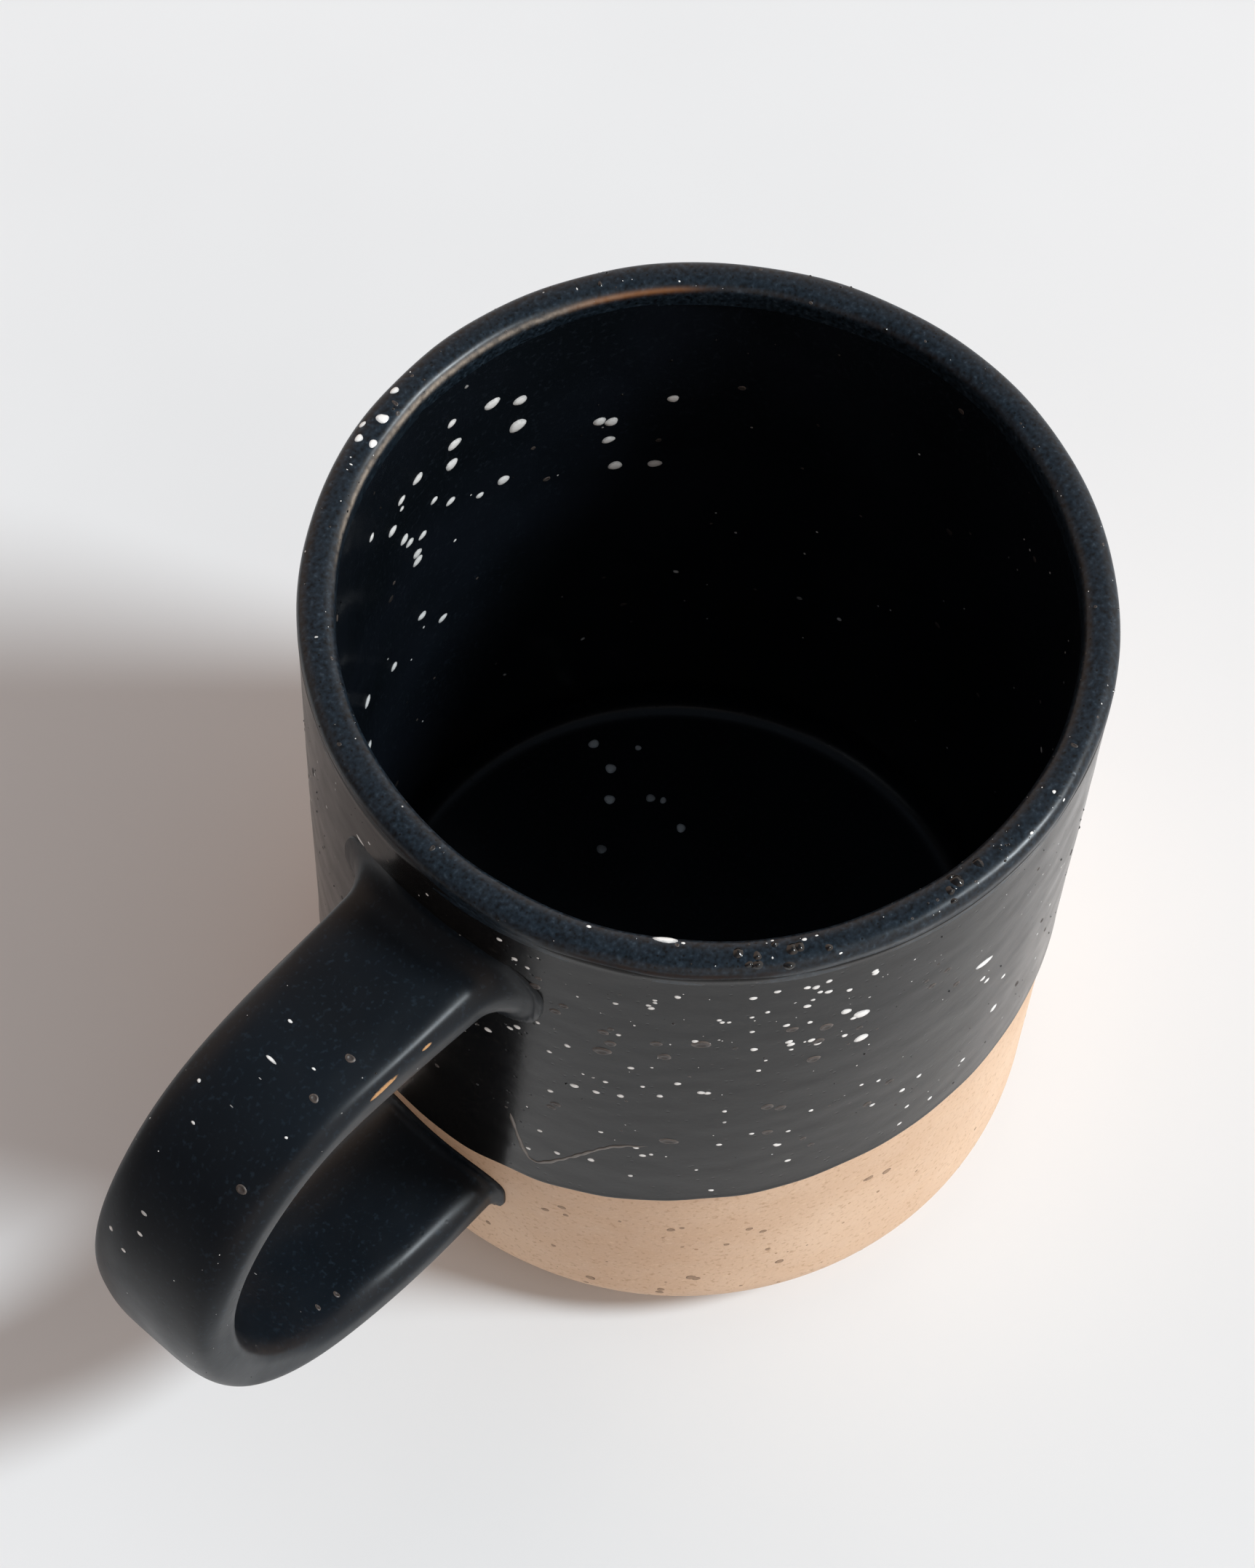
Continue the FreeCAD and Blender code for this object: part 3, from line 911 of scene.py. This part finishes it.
# %% Small finishes
def two_part(name, rim, middle, veil, veil_from, rough):
    """Middle to rim by distance, then veiled by a darker colour on discs of a high tone."""
    made, tree, shader = finish_named(name, Roughness=rough, IOR=1.5)
    out = node(tree, "Attribute", attribute_name="from_middle").outputs["Fac"]
    tone = node(tree, "Attribute", attribute_name="tone").outputs["Fac"]
    uneven = node(tree, "Math", {0: out, 1: spread(tree, grain(tree, 0.3 * MM), 0.3, 0.7, -0.15,
                                                   0.15)}, operation="ADD").outputs[0]
    body = blend(tree, spread(tree, uneven, 0.55, 0.95, 0, 1), colour(middle), colour(rim))
    veiled = blend(tree, spread(tree, tone, veil_from, 1.0, 0, 0.9), body, colour(veil))
    tree.links.new(veiled, shader.inputs["Base Color"])
    relief(tree, shader, [(grain(tree, 0.25 * MM), 0.02 * MM)])
    return made


fleck_finish = two_part("milky_white_fleck", "#b9b9b8", "#f2f1ee", "#4a4a49", 0.35, 0.3)
blister_finish = two_part("broken_glaze_blister", "#5a514b", "#3b3532", "#1c1a19", 0.35, 0.45)
thread_finish = two_part("raised_glaze_thread", "#665e57", "#665e57", "#665e57", 0.5, 0.4)
speck_finish = two_part("grey_clay_speck", "#735b48", "#9c7f64", "#b08a66", 0.6, 0.6)
patch_finish = two_part("bare_clay_edge", "#15110e", "#b08355", "#b08355", 0.9, 0.6)

# %% Give every piece its finish
for piece, finish in (
    (clay_cup, clay_finish), (outer_coat, outer_finish), (lip_band, lip_finish),
    (liner, liner_finish), (handle_coat, handle_finish), (white_flecks, fleck_finish),
    (blisters, blister_finish), (grit_bumps, bump_finish), (clay_specks, speck_finish),
    (crawl_thread, thread_finish), (bare_patches, patch_finish),
):
    piece.data.materials.clear()
    piece.data.materials.append(finish)

# The handle's clay core stays under its coat, and has the clay's finish.
hidden_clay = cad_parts["handle"]
hidden_clay.data.materials.clear()
hidden_clay.data.materials.append(clay_finish)

# %% [markdown]
# ## The table and the light
#
# A pale matt table whose colour darkens past the handle, a painted shade for the window's light
# falling off, one soft light from the side like a window, and a sky that is bright towards the
# lamp, warm away from it, dark beyond the handle and cool overhead. The black glaze shows mostly
# what it reflects, so the table and the sky matter as much as the lamp.

# %% Table top
floor_mesh = bpy.data.meshes.new("table_top")
HALF = 4.0
floor_mesh.from_pydata([(-HALF, -HALF, 0), (HALF, -HALF, 0), (HALF, HALF, 0), (-HALF, HALF, 0)],
                       [], [(0, 1, 2, 3)])
table = bpy.data.objects.new("table_top", floor_mesh)
bpy.context.scene.collection.objects.link(table)
table_finish, tree, shader = finish_named("pale_matt_table", Roughness=0.9, IOR=1.3)
pale = ramp(tree, grain(tree, 40 * MM, detail=3), [(0.3, "#e2e2e2"), (0.7, "#e5e5e5")])
where = node(tree, "TexCoord").outputs["Object"]
# Painted shade: the table's colour darkens away from the lamp past the handle, standing in for the
# window's light falling off there.
PAINTED_SHADE_WAY = (0.95, -0.3, 0)
away = node(tree, "VectorMath", {0: where, 1: PAINTED_SHADE_WAY},
            operation="DOT_PRODUCT").outputs["Value"]
tree.links.new(blend(tree, spread(tree, away, 0.11, 0.32, 0, 0.85), pale, colour("#6e6866")),
               shader.inputs["Base Color"])
floor_mesh.materials.append(table_finish)

# %% Side light
LIGHT_AZIMUTH, LIGHT_HEIGHT = math.radians(123.5), math.radians(45.5)
lamp = bpy.data.lights.new("window_light", "SUN")
lamp.energy = 2.98
lamp.angle = math.radians(13)
lamp.color = (0.87, 0.95, 1.0)
window = bpy.data.objects.new("window_light", lamp)
bpy.context.scene.collection.objects.link(window)
window.rotation_euler = (math.pi / 2 - LIGHT_HEIGHT, 0, LIGHT_AZIMUTH + math.pi / 2)

print("light from", np.round(np.degrees([LIGHT_AZIMUTH, LIGHT_HEIGHT]), 1).tolist())

# %% Sky
LIT_SIDE, WARM_SIDE = (1.12, 1.01, 0.93, 1), (0.89, 0.68, 0.56, 1)
DARK_SIDE, ZENITH = (0.15, 0.13, 0.13, 1), (0.16, 0.19, 0.23, 1)
world = bpy.data.worlds.new("soft_sky")
bpy.context.scene.world = world
world.use_nodes = True
sky = world.node_tree
sky.nodes.clear()
heading = node(sky, "TexCoord").outputs["Generated"]
up = node(sky, "SeparateXYZ", {"Vector": heading}).outputs["Z"]
lamp_way = (math.cos(LIGHT_AZIMUTH), math.sin(LIGHT_AZIMUTH), 0)
towards = node(sky, "VectorMath", {0: heading, 1: lamp_way},
               operation="DOT_PRODUCT").outputs["Value"]
sides = blend(sky, spread(sky, towards, -0.3, 0.5, 0, 1), WARM_SIDE, LIT_SIDE)
dark_way = (0.87, -0.32, 0.37)
beyond = node(sky, "VectorMath", {0: heading, 1: dark_way},
              operation="DOT_PRODUCT").outputs["Value"]
sides = blend(sky, spread(sky, beyond, 0.62, 0.90, 0, 1), sides, DARK_SIDE)
shade = blend(sky, spread(sky, up, 0.62, 0.86, 0, 1), sides, ZENITH)
background = node(sky, "Background", {"Color": shade, "Strength": 1.0})
node(sky, "OutputWorld", {"Surface": background.outputs["Background"]})
bpy.context.scene.view_settings.view_transform = "Standard"
bpy.context.scene.view_settings.look = "None"
print("sky made of", len(sky.nodes), "nodes")

# %% [markdown]
# ## The camera
#
# A long lens looks steeply down into the mug, with the handle towards the lower left.

# %% Camera
lens = bpy.data.cameras.new("view")
lens.lens = 100.2
lens.sensor_width = 36.0
lens.clip_start = 0.01
camera = bpy.data.objects.new("view", lens)
bpy.context.scene.collection.objects.link(camera)
STAND = np.array([0.17990, 0.13547, 0.47944])
AIM = np.array([0.00258, -0.00720, 0.05])
ROLL = math.radians(3.48)
back = (STAND - AIM) / np.linalg.norm(STAND - AIM)
right = np.cross([0, 0, 1], back)
right /= np.linalg.norm(right)
top = np.cross(back, right)
right, top = (right * math.cos(ROLL) + top * math.sin(ROLL),
              top * math.cos(ROLL) - right * math.sin(ROLL))
facing = np.eye(4)
facing[:3, 0], facing[:3, 1], facing[:3, 2], facing[:3, 3] = right, top, back, STAND
camera.matrix_world = facing.T.tolist()
bpy.context.scene.camera = camera
print("camera stands", np.round(STAND, 3).tolist(), "with a lens of", lens.lens, "mm")
